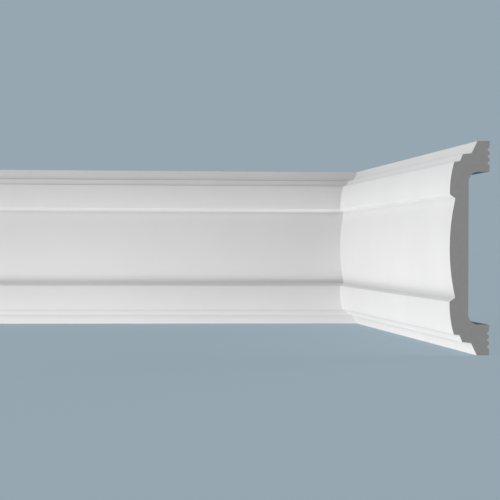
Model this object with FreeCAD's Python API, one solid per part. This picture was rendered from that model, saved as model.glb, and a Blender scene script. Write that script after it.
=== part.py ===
import FreeCAD, Part
import math
import os
from FreeCAD import Vector

# A wall moulding turned round an inside corner of a room: a full stock length and a shorter return.
#
# Both runs have the same moulded section. A bowed panel lies between two rounded bands, the long
# edges step back towards the wall, and the back is hollowed into a channel between two grooved glue
# lands. The runs are sawn to a mitre and meet there face to face. They stand on their lower long
# edges.
#
# Frame: the origin is the heel of the mitre at floor level, where the two walls and the floor meet.
# The main run goes along -X with its back on the plane Y = 0, and the return goes along -Y with its
# back on the plane X = 0. Z is up. Sizes are in millimetres and angles in degrees.

# Overall sizes. The lengths are taken along the back, to the long point of the mitre.
section_height = 160.0
section_depth = 30.0
stock_length = 2000.0
return_length = 600.0
corner_angle = 90.0

# Stepped long edge: two steps, each a ledge that looks along the wall and a splayed face
outer_splay_height = 9.2
outer_splay_rise = 4.4
outer_ledge_width = 6.6
inner_splay_height = 5.3
inner_splay_rise = 2.2
inner_ledge_width = 4.2
ledge_draft = 6.0

# Rounded band and the quirk that parts it from the bowed panel
band_radius = 78.0
band_crown_drop = 38.2
band_end_drop = 40.0
quirk_height = 3.0
quirk_depth = 4.2
arris_radius = 0.5

# Hollow back
web_thickness = 14.2
land_height = 23.0
channel_corner_radius = 7.5

# Grooves that key the adhesive on each land
groove_count = 3
groove_pitch = 5.0
groove_width = 3.4
groove_depth = 1.5
groove_floor_width = 0.8

# How far the saw's waste reaches past the moulding
saw_margin = 10.0

origin = Vector(0, 0, 0)
along_run = Vector(1, 0, 0)
upward = Vector(0, 0, 1)
touching = 1e-6


def at(depth, drop):
    """A point of the section, from its depth out from the wall and its drop below the upper edge."""
    return Vector(0, -depth, section_height - drop)


def lowered(corner):
    """The same corner in the lower half of the section, which mirrors the upper half."""
    return Vector(corner.x, corner.y, section_height - corner.z)


def line(start, end):
    return Part.LineSegment(start, end).toShape()


def arc(start, middle, end):
    return Part.Arc(start, middle, end).toShape()


def lines_through(corners):
    return [line(start, end) for start, end in zip(corners, corners[1:])]


def band_depth(drop):
    """How far the rounded band stands out from the wall at this drop."""
    return section_depth - band_radius + math.sqrt(band_radius**2 - (drop - band_crown_drop) ** 2)


def stepped_edge():
    """The corners of the two steps, from the start of the band back to the long edge.

    Every other corner, from the first, points outwards.
    """
    draft = math.tan(math.radians(ledge_draft))
    steps = [
        (inner_ledge_width, inner_ledge_width * draft),
        (inner_splay_rise, inner_splay_height),
        (outer_ledge_width, outer_ledge_width * draft),
        (outer_splay_rise, outer_splay_height),
    ]
    drop = sum(climb for setback, climb in steps)
    depth = band_depth(drop)
    corners = [at(depth, drop)]
    for setback, climb in steps:
        depth -= setback
        drop -= climb
        corners.append(at(depth, drop))
    return corners


def quirk_corners():
    """The arris where the band ends and the root of the quirk, where the panel starts."""
    arris = at(band_depth(band_end_drop), band_end_drop)
    root = at(section_depth - quirk_depth, band_end_drop + quirk_height)
    return arris, root


def band():
    """The rounded band, from the quirk up to the first step."""
    start = stepped_edge()[0]
    end = quirk_corners()[0]
    middle_drop = section_height - (start.z + end.z) / 2
    return arc(end, at(band_depth(middle_drop), middle_drop), start)


def grooved_land():
    """The glue land on the wall plane, from the long edge down to the channel."""
    corners = [at(0, 0)]
    first_groove = (land_height - groove_pitch * (groove_count - 1)) / 2
    for index in range(groove_count):
        middle = first_groove + index * groove_pitch
        corners.append(at(0, middle - groove_width / 2))
        corners.append(at(groove_depth, middle - groove_floor_width / 2))
        corners.append(at(groove_depth, middle + groove_floor_width / 2))
        corners.append(at(0, middle + groove_width / 2))
    corners.append(at(0, land_height))
    return lines_through(corners)


def channel_side():
    """The side of the channel and its rounded corner, from the land in to the back of the web."""
    web_back = section_depth - web_thickness
    centre_depth = web_back - channel_corner_radius
    centre_drop = land_height + channel_corner_radius
    halfway = channel_corner_radius * math.sqrt(0.5)
    corner_start = at(centre_depth, land_height)
    corner_middle = at(centre_depth + halfway, centre_drop - halfway)
    corner_end = at(web_back, centre_drop)
    return line(at(0, land_height), corner_start), arc(corner_start, corner_middle, corner_end)


def section():
    """The face to extrude: the upper half, its mirror image, and the panel and web between them."""
    edge_corners = stepped_edge()
    quirk_arris, quirk_root = quirk_corners()
    side, corner = channel_side()
    upper = [line(quirk_root, quirk_arris), band()]
    upper += lines_through(edge_corners + [at(0, 0)])
    upper += grooved_land() + [side, corner]
    lower = [edge.mirror(at(0, section_height / 2), upward) for edge in upper]
    panel = arc(quirk_root, at(section_depth, section_height / 2), lowered(quirk_root))
    web_top = corner.Vertexes[-1].Point
    web_back = line(web_top, lowered(web_top))
    edges = Part.sortEdges(upper + lower + [panel, web_back])[0]
    return Part.Face(Part.Wire(edges))


def arrises(blank):
    """The long edges of a straight length at the outward corners of its section."""
    corners = stepped_edge()[::2] + [quirk_corners()[0], at(0, land_height)]
    corners += [lowered(corner) for corner in corners]

    def follows(edge, corner):
        return all(end.Point.distanceToLine(corner, along_run) < touching for end in edge.Vertexes)

    return [edge for edge in blank.Edges if any(follows(edge, corner) for corner in corners)]


def mitre_turn():
    """How far the mitre plane is turned about Z from square across the main run."""
    return corner_angle / 2 - 90


def mitre_waste():
    """The block beyond the mitre plane, which passes through the origin and halves the corner."""
    reach = section_depth / math.sin(math.radians(corner_angle / 2)) + saw_margin
    height = section_height + 2 * saw_margin
    block = Part.makeBox(reach, reach + saw_margin, height, Vector(0, -reach, -saw_margin))
    return block.rotate(origin, upward, mitre_turn())


def mitred_run(length):
    """One run along -X with its back on Y = 0, sawn square at its far end and mitred at the origin."""
    blank = section().extrude(along_run * -length)
    eased = blank.makeFillet(arris_radius, arrises(blank))
    return eased.cut(mitre_waste())


def across_mitre(run):
    """The same run turned to the other wall: its mirror image in the mitre plane."""
    angle = math.radians(mitre_turn())
    return run.mirror(origin, Vector(math.cos(angle), math.sin(angle), 0))


def main():
    runs = {
        "main_run": mitred_run(stock_length),
        "return_run": across_mitre(mitred_run(return_length)),
    }
    os.makedirs("parts", exist_ok=True)
    for name, run in runs.items():
        run.exportStep(os.path.join("parts", name + ".step"))


main()
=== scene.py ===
import math

import bpy
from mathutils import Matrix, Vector


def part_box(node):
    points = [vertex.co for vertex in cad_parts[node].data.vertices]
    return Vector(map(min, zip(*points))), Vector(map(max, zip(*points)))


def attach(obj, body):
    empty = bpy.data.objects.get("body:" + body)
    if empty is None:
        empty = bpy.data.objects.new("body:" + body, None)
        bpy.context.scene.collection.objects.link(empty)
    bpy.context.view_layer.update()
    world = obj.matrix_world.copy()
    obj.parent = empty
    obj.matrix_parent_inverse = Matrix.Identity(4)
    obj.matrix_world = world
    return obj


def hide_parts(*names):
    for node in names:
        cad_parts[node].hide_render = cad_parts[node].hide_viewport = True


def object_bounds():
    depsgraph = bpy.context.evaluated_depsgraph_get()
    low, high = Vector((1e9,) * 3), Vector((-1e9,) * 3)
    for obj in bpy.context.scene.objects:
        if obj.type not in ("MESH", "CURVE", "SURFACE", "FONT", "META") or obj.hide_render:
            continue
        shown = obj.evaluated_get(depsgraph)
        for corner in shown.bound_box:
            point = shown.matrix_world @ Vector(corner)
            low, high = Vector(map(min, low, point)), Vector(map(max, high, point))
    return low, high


# The looks of a wall moulding that is turned round an inside corner of a room.
#
# Both runs are built again from the part's own sizes, with exact normals and small roundings, and
# stand where the frame has them. Sizes are in metres and angles in radians, apart from the
# directions of the lamps, which are in degrees.

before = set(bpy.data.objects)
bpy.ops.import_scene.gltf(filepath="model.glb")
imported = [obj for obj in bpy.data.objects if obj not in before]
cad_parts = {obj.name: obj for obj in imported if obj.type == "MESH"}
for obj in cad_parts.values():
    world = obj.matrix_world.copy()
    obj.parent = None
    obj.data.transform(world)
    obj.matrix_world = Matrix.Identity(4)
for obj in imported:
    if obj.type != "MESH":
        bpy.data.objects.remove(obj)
cad_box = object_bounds()

# Sizes that the frame gives
main_low, main_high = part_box("main_run")
return_low, return_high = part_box("return_run")
stock_length = main_high.x - main_low.x
return_length = return_high.y - return_low.y
section_height = main_high.z - main_low.z
section_depth = main_high.y - main_low.y

# Stepped long edge
outer_splay_height = 0.0092
outer_splay_rise = 0.0044
outer_ledge_width = 0.0066
inner_splay_height = 0.0053
inner_splay_rise = 0.0022
inner_ledge_width = 0.0042
ledge_draft = math.radians(6)

# Rounded band and the quirk that parts it from the bowed panel
band_radius = 0.078
band_crown_drop = 0.0382
band_end_drop = 0.040
quirk_height = 0.003
quirk_depth = 0.0042

# Hollow back with its grooved lands
web_thickness = 0.0142
land_height = 0.023
channel_corner_radius = 0.0075
groove_count = 3
groove_pitch = 0.005
groove_width = 0.0034
groove_depth = 0.0015
groove_floor_width = 0.0008

# Rounding of the corners, and how finely roundings and arcs are divided
arris_radius = 0.0005
root_radius = 0.0003
groove_radius = 0.0002
corner_steps = 5
arc_step = math.radians(1)

# The materials of a run, by their index on it
primed, sawn, raw = 0, 1, 2

# White primer: the shades between which it varies in soft clouds, the span of their noise that the
# change takes, its least and most roughness, and the fine peel of a sprayed coat
primer_dark = (0.8185, 0.814, 0.813)
primer_light = (0.8485, 0.844, 0.843)
primer_span = (0.35, 0.65)
primer_roughness = (0.52, 0.64)
primer_specular = 0.3
cloud_scale = 9
cloud_detail = 4
peel_scale = 700
peel_detail = 2
peel_strength = 0.06
peel_height = 0.0004

# Foam, as (darkest grey, lightest grey, cells in a metre, strength of their relief), and what both
# kinds share
sawn_foam = (0.306, 0.322, 1600, 0.2)
raw_back = (0.17, 0.21, 900, 0.1)
foam_span = (0.3, 0.7)
foam_roughness = 0.9
foam_specular = 0.15
cells_per_grain = 6
grain_detail = 5
cell_height = 0.0003

# Painted shade in the creases of the section: how far it reaches, the share of the colour that is
# left in the deepest, how much of the sky a point sees there, and how much it sees where it ends
painted_shade_reach = 0.02
darkest_painted_shade = 0.6
crease_sky = 0.4
open_sky = 0.92
painted_shade_samples = 16

# Blue-grey of the backdrop and the floor, as a linear colour
backdrop = Vector((0.305, 0.386, 0.440))

# Floor: the share of it that takes light and shadow, how pale that share is, the strength of the
# plain rest, and its half width and depth below the object
lit_share = 0.15
lit_shade = 0.8
plain_strength = 1.083
floor_reach = 20
floor_gap = 0.0002

# Lamps far away, as (name, azimuth from the front towards the left, elevation, level). At a level
# of 1 a lamp alone shows a white surface that faces it in the corner as white.
far_lamps = (
    ("left_level", 100, 5, 0.355),
    ("left_high", 70, 15, 0.255),
    ("left_under", 75, -65, 0.38),
    ("right_low", -20, -12, 0.187),
    ("right_high", -20, 15, 0.194),
    ("under", 20, -65, 0.342),
    ("behind", -135, 8, 0.8),
)
far_spread = math.radians(35)

# Discs closer by, with their distance from the corner and their width as well
near_lamps = (
    ("disc_high", 60, 30, 0.171, 3.0, 1.2),
    ("disc_front", 30, 25, 0.0625, 1.6, 0.8),
    ("disc_low", 80, -35, 0.0635, 1.2, 0.6),
)
near_middle = Vector((-0.1, -0.1, 0.08))

# Camera, with its focal length in pixels of the picture
picture_width = 500
focal_pixels = 1886
sensor_width = 36
camera_place = (-0.3123, -1.9842, 0.0801)
camera_yaw = 0.0957
camera_pitch = -0.0014
camera_roll = 0.0030


# A corner of the section is (depth out from the wall, drop below the upper edge, rounding).


def band_depth(drop):
    """How far the rounded band stands out from the wall at this drop."""
    return section_depth - band_radius + math.sqrt(band_radius**2 - (drop - band_crown_drop) ** 2)


def arc_corners(centre, radius, start, end):
    """Corners along an arc of the section, between its two ends. They need no rounding."""
    steps = max(2, math.ceil(abs(end - start) / arc_step))
    corners = []
    for index in range(1, steps):
        angle = start + (end - start) * index / steps
        depth = centre[0] + radius * math.cos(angle)
        drop = centre[1] + radius * math.sin(angle)
        corners.append((depth, drop, 0))
    return corners


def bowed_panel():
    """The upper half of the panel, from its crown to the root of the quirk."""
    crown_drop = section_height / 2
    root_drop = band_end_drop + quirk_height
    half_chord = crown_drop - root_drop
    bow_radius = (half_chord**2 + quirk_depth**2) / (2 * quirk_depth)
    bow_centre = (section_depth - bow_radius, crown_drop)
    bow_angle = math.asin(half_chord / bow_radius)
    corners = [(section_depth, crown_drop, 0)]
    corners += arc_corners(bow_centre, bow_radius, 0, -bow_angle)
    corners.append((section_depth - quirk_depth, root_drop, root_radius))
    return corners


def rounded_band(top_drop):
    """The band, from its arris at the quirk up to the drop where the steps start."""
    centre = (section_depth - band_radius, band_crown_drop)
    start = math.asin((band_end_drop - band_crown_drop) / band_radius)
    end = math.asin((top_drop - band_crown_drop) / band_radius)
    corners = [(band_depth(band_end_drop), band_end_drop, arris_radius)]
    corners += arc_corners(centre, band_radius, start, end)
    return corners


def stepped_edge():
    """The two steps, from the start of the band back to the long edge."""
    draft = math.tan(ledge_draft)
    steps = (
        (inner_ledge_width, inner_ledge_width * draft, root_radius),
        (inner_splay_rise, inner_splay_height, arris_radius),
        (outer_ledge_width, outer_ledge_width * draft, root_radius),
        (outer_splay_rise, outer_splay_height, arris_radius),
    )
    drop = sum(climb for setback, climb, rounding in reversed(steps))
    depth = band_depth(drop)
    corners = [(depth, drop, arris_radius)]
    for setback, climb, rounding in steps:
        depth -= setback
        drop -= climb
        corners.append((depth, drop, rounding))
    return corners


def grooved_land():
    """The glue land on the wall plane, from the long edge to the channel."""
    corners = [(0, 0, groove_radius)]
    first_groove = (land_height - groove_pitch * (groove_count - 1)) / 2
    for index in range(groove_count):
        middle = first_groove + index * groove_pitch
        corners.append((0, middle - groove_width / 2, groove_radius))
        corners.append((groove_depth, middle - groove_floor_width / 2, groove_radius))
        corners.append((groove_depth, middle + groove_floor_width / 2, groove_radius))
        corners.append((0, middle + groove_width / 2, groove_radius))
    corners.append((0, land_height, arris_radius))
    return corners


def channel():
    """The side of the channel, its rounded corner and the back of the web, to mid height."""
    web_back = section_depth - web_thickness
    centre = (web_back - channel_corner_radius, land_height + channel_corner_radius)
    corners = [(centre[0], land_height, 0)]
    corners += arc_corners(centre, channel_corner_radius, -math.pi / 2, 0)
    corners.append((web_back, centre[1], 0))
    corners.append((web_back, section_height / 2, 0))
    return corners


def lowered(corner):
    """A corner and its material in the lower half of the section, which mirrors the upper half."""
    depth, drop, rounding, material = corner
    return depth, section_height - drop, rounding, material


def rounded(before, corner, after, radius):
    """The arc that takes the place of a corner, tangent to both its sides, as (point, normal)."""
    corner = Vector(corner)
    to_before = Vector(before) - corner
    to_after = Vector(after) - corner
    back = to_before.normalized()
    ahead = to_after.normalized()
    half = back.angle(ahead) / 2
    reach = min(radius / math.tan(half), to_before.length, to_after.length)
    centre = corner + (back + ahead).normalized() * reach / math.cos(half)
    start = corner + back * reach - centre
    end = corner + ahead * reach - centre
    turn = math.atan2(start.x * end.y - start.y * end.x, start.dot(end))
    outward = 1 if turn < 0 else -1
    points = []
    for index in range(corner_steps + 1):
        angle = turn * index / corner_steps
        x = start.x * math.cos(angle) - start.y * math.sin(angle)
        y = start.x * math.sin(angle) + start.y * math.cos(angle)
        spoke = Vector((x, y))
        points.append((centre + spoke, spoke.normalized() * outward))
    return points


def side_normal(before, after):
    """The outward normal of the side of the section that runs from one point to another."""
    along = (Vector(after) - Vector(before)).normalized()
    return Vector((-along.y, along.x))


def outline():
    """The section once round from the panel's crown, as (depth, height, normal, material).

    The material is that of the side which starts at the point.
    """
    edge = stepped_edge()
    face = bowed_panel() + rounded_band(edge[0][1]) + edge
    back = grooved_land() + channel()
    upper = [(*corner, primed) for corner in face] + [(*corner, raw) for corner in back]
    corners = upper + [lowered(corner) for corner in reversed(upper[1:-1])]
    points = []
    for index, (depth, drop, rounding, material) in enumerate(corners):
        before = corners[index - 1]
        after = corners[(index + 1) % len(corners)]
        side = raw if material == raw and after[3] == raw else primed
        if rounding:
            arc = rounded(before[:2], (depth, drop), after[:2], rounding)
        else:
            arc = [(Vector((depth, drop)), side_normal(before[:2], after[:2]))]
        for place, normal in arc:
            points.append((place.x, section_height - place.y, normal, side))
    return points


def on_main_end(depth, height):
    """Where a point of the section lies on the sawn end of the main run."""
    return -stock_length, -depth, height


def on_return_end(depth, height):
    """Where a point of the section lies on the sawn end of the return."""
    return -depth, -return_length, height


def on_mitre(depth, height):
    """Where a point of the section lies on the mitre plane, which halves the corner."""
    return -depth, -depth, height


def run_normal(point, on_sawn_end):
    """The section's normal at one of its points, turned to where the run stands."""
    depth, height, normal, material = point
    here = Vector(on_sawn_end(depth, height))
    return (Vector(on_sawn_end(depth + normal.x, height - normal.y)) - here).normalized()


def add_object(name, data):
    """A new object in the scene."""
    made = bpy.data.objects.new(name, data)
    bpy.context.scene.collection.objects.link(made)
    return made


def run_object(name, points, on_sawn_end):
    """One run: the section lofted from its square sawn end to its mitre, with both ends closed.

    The points are those of the section. Its long edges are rounded there, so their normals are all
    that the shading of the sides needs.
    """
    count = len(points)
    vertices = [on_sawn_end(*point[:2]) for point in points]
    vertices += [on_mitre(*point[:2]) for point in points]
    sides = [(k, (k + 1) % count, count + (k + 1) % count, count + k) for k in range(count)]
    ends = [tuple(reversed(range(count))), tuple(range(count, 2 * count))]
    materials = [point[3] for point in points] + [sawn] * len(ends)
    side_normals = [run_normal(point, on_sawn_end) for point in points]

    mesh = bpy.data.meshes.new(name)
    mesh.from_pydata(vertices, [], sides + ends)
    mesh.polygons.foreach_set("material_index", materials)
    # The two runs are mirror images, so the faces of one of them have to be turned over
    if mesh.polygons[0].normal.dot(side_normals[0]) < 0:
        mesh.flip_normals()
    mesh.shade_smooth()
    normals = []
    for polygon in mesh.polygons:
        for loop in polygon.loop_indices:
            if polygon.material_index == sawn:
                normals.append(polygon.normal.copy())
            else:
                normals.append(side_normals[mesh.loops[loop].vertex_index % count])
    mesh.normals_split_custom_set(normals)
    return add_object(name, mesh)


def finish_run(piece, node, materials):
    """Gives a run its materials and its place in the frame."""
    for material in materials:
        piece.data.materials.append(material)
    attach(piece, "root")
    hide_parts(node)


class Nodes:
    """A small helper to add and link the nodes of one material or world."""

    def __init__(self, owner):
        owner.use_nodes = True
        self.tree = owner.node_tree
        self.tree.nodes.clear()

    def add(self, kind, values=None):
        """A new node, with these values on its inputs."""
        node = self.tree.nodes.new(kind)
        for name, value in (values or {}).items():
            node.inputs[name].default_value = value
        return node

    def link(self, output, socket):
        self.tree.links.new(output, socket)


def noise(n, place, scale, detail):
    """Noise that is fixed to the object."""
    texture = n.add("ShaderNodeTexNoise", {"Scale": scale, "Detail": detail})
    n.link(place, texture.inputs["Vector"])
    return texture.outputs["Fac"]


def tinted(n, cause, dark, light, span):
    """A colour that goes from dark to light while its cause rises over this span."""
    ramp = n.add("ShaderNodeValToRGB")
    for element, colour, position in zip(ramp.color_ramp.elements, (dark, light), span):
        element.position = position
        element.color = (*colour, 1)
    n.link(cause, ramp.inputs["Fac"])
    return ramp.outputs["Color"]


def painted_crease_shade(n, colour):
    """The same colour with painted shade, darker in the creases of the section."""
    # Painted shade: the colour is scaled down where little of the sky is open close to the surface
    sky = n.add("ShaderNodeAmbientOcclusion", {"Distance": painted_shade_reach})
    sky.samples = painted_shade_samples
    sky.only_local = True
    limits = {"From Min": crease_sky, "From Max": open_sky, "To Min": darkest_painted_shade}
    shade = n.add("ShaderNodeMapRange", limits)
    n.link(sky.outputs["AO"], shade.inputs["Value"])
    shaded = n.add("ShaderNodeVectorMath")
    shaded.operation = "SCALE"
    n.link(colour, shaded.inputs[0])
    n.link(shade.outputs["Result"], shaded.inputs["Scale"])
    return shaded.outputs["Vector"]


def bumped(n, relief, strength, height):
    """The surface's normal with this relief on it."""
    bump = n.add("ShaderNodeBump", {"Strength": strength, "Distance": height})
    n.link(relief, bump.inputs["Height"])
    return bump.outputs["Normal"]


def surface(n, colour, normal, values):
    """The shader that ends a material: this colour with painted shade in the creases, and this
    normal.
    """
    shader = n.add("ShaderNodeBsdfPrincipled", values)
    n.link(painted_crease_shade(n, colour), shader.inputs["Base Color"])
    n.link(normal, shader.inputs["Normal"])
    n.link(shader.outputs["BSDF"], n.add("ShaderNodeOutputMaterial").inputs["Surface"])
    return shader


def primer_material():
    """Smooth matt white primer, with the faint unevenness and peel of a sprayed coat."""
    material = bpy.data.materials.new("white_primer")
    n = Nodes(material)
    place = n.add("ShaderNodeTexCoord").outputs["Object"]
    cloud = noise(n, place, cloud_scale, cloud_detail)
    peel = noise(n, place, peel_scale, peel_detail)
    colour = tinted(n, cloud, primer_dark, primer_light, primer_span)
    normal = bumped(n, peel, peel_strength, peel_height)
    shader = surface(n, colour, normal, {"Specular IOR Level": primer_specular})
    least, most = primer_roughness
    roughness = n.add("ShaderNodeMapRange", {"To Min": least, "To Max": most})
    n.link(cloud, roughness.inputs["Value"])
    n.link(roughness.outputs["Result"], shader.inputs["Roughness"])
    return material


def foam_material(name, dark, light, cell_scale, relief):
    """Grey rigid foam: fine cells that show as a faint speckle and an open, matt surface."""
    material = bpy.data.materials.new(name)
    n = Nodes(material)
    place = n.add("ShaderNodeTexCoord").outputs["Object"]
    cells = n.add("ShaderNodeTexVoronoi", {"Scale": cell_scale})
    n.link(place, cells.inputs["Vector"])
    grain = noise(n, place, cell_scale / cells_per_grain, grain_detail)
    colour = tinted(n, grain, [dark] * 3, [light] * 3, foam_span)
    normal = bumped(n, cells.outputs["Distance"], relief, cell_height)
    surface(n, colour, normal, {"Roughness": foam_roughness, "Specular IOR Level": foam_specular})
    return material


def seen_by_camera(n):
    """1 for rays that show the backdrop: straight from the camera, or reflected in a gloss."""
    path = n.add("ShaderNodeLightPath")
    either = n.add("ShaderNodeMath")
    either.operation = "MAXIMUM"
    n.link(path.outputs["Is Camera Ray"], either.inputs[0])
    n.link(path.outputs["Is Glossy Ray"], either.inputs[1])
    return either.outputs["Value"]


def floor_material():
    """Floor in the backdrop's colour that keeps the object's shadow."""
    material = bpy.data.materials.new("studio_floor")
    n = Nodes(material)
    plain = n.add("ShaderNodeEmission", {"Color": (*(backdrop * plain_strength), 1)})
    lit = n.add("ShaderNodeBsdfDiffuse", {"Color": (*(backdrop / backdrop.z * lit_shade), 1)})
    shown = n.add("ShaderNodeMixShader", {"Fac": lit_share})
    n.link(plain.outputs["Emission"], shown.inputs[1])
    n.link(lit.outputs["BSDF"], shown.inputs[2])
    n.link(shown.outputs["Shader"], n.add("ShaderNodeOutputMaterial").inputs["Surface"])
    return material


def make_floor():
    """The floor lets the low lamps shine through it and colours nothing that stands on it."""
    near, far = -floor_reach, floor_reach
    corners = [(near, near, 0), (far, near, 0), (far, far, 0), (near, far, 0)]
    mesh = bpy.data.meshes.new("floor")
    mesh.from_pydata(corners, [], [(0, 1, 2, 3)])
    mesh.materials.append(floor_material())
    floor = add_object("floor", mesh)
    floor.location.z = cad_box[0].z - floor_gap
    floor.visible_shadow = False
    floor.visible_diffuse = False


def make_world():
    """The backdrop behind the floor, which shows to the camera and lights nothing."""
    world = bpy.data.worlds.new("studio")
    bpy.context.scene.world = world
    n = Nodes(world)
    seen = n.add("ShaderNodeBackground", {"Color": (*backdrop, 1)})
    dark = n.add("ShaderNodeBackground", {"Strength": 0})
    shown = n.add("ShaderNodeMixShader")
    n.link(seen_by_camera(n), shown.inputs["Fac"])
    n.link(dark.outputs["Background"], shown.inputs[1])
    n.link(seen.outputs["Background"], shown.inputs[2])
    n.link(shown.outputs["Shader"], n.add("ShaderNodeOutputWorld").inputs["Surface"])


def direction(azimuth, elevation):
    """Where a lamp is as seen from the corner, as a unit vector."""
    a = math.radians(azimuth)
    e = math.radians(elevation)
    return Vector((-math.sin(a) * math.cos(e), -math.cos(a) * math.cos(e), math.sin(e)))


def add_lamp(name, kind, towards):
    """A lamp that shines on the corner from this direction."""
    lamp = add_object(name, bpy.data.lights.new(name, kind))
    lamp.rotation_euler = towards.to_track_quat("Z", "Y").to_euler()
    return lamp


def add_far_lamp(name, azimuth, elevation, level):
    """A wide, even light from far away."""
    lamp = add_lamp(name, "SUN", direction(azimuth, elevation))
    lamp.data.energy = math.pi * level
    lamp.data.angle = far_spread


def add_near_lamp(name, azimuth, elevation, level, distance, width, receivers):
    """A soft disc whose light falls off along both runs and leaves the floor even."""
    towards = direction(azimuth, elevation)
    lamp = add_lamp(name, "AREA", towards)
    lamp.data.shape = "DISK"
    lamp.data.size = width
    # The power at which a disc lights the corner as a far lamp of the same level does
    lamp.data.energy = (math.pi * distance) ** 2 * level
    lamp.location = near_middle + towards * distance
    lamp.visible_camera = False
    lamp.light_linking.receiver_collection = receivers


def make_camera():
    """The camera: level with mid height, a little turned towards the return."""
    data = bpy.data.cameras.new("camera")
    data.sensor_width = sensor_width
    data.lens = focal_pixels / picture_width * sensor_width
    camera = add_object("camera", data)
    camera.location = camera_place
    camera.rotation_euler = (math.pi / 2 + camera_pitch, -camera_roll, -camera_yaw)
    bpy.context.scene.camera = camera


section = outline()
main_run = run_object("main_moulding", section, on_main_end)
return_run = run_object("return_moulding", section, on_return_end)
materials = [
    primer_material(),
    foam_material("sawn_foam", *sawn_foam),
    foam_material("raw_back", *raw_back),
]
finish_run(main_run, "main_run", materials)
finish_run(return_run, "return_run", materials)

make_floor()
make_world()
for lamp in far_lamps:
    add_far_lamp(*lamp)
runs = bpy.data.collections.new("runs")
runs.objects.link(main_run)
runs.objects.link(return_run)
for lamp in near_lamps:
    add_near_lamp(*lamp, runs)
make_camera()

bpy.context.scene.view_settings.view_transform = "Standard"
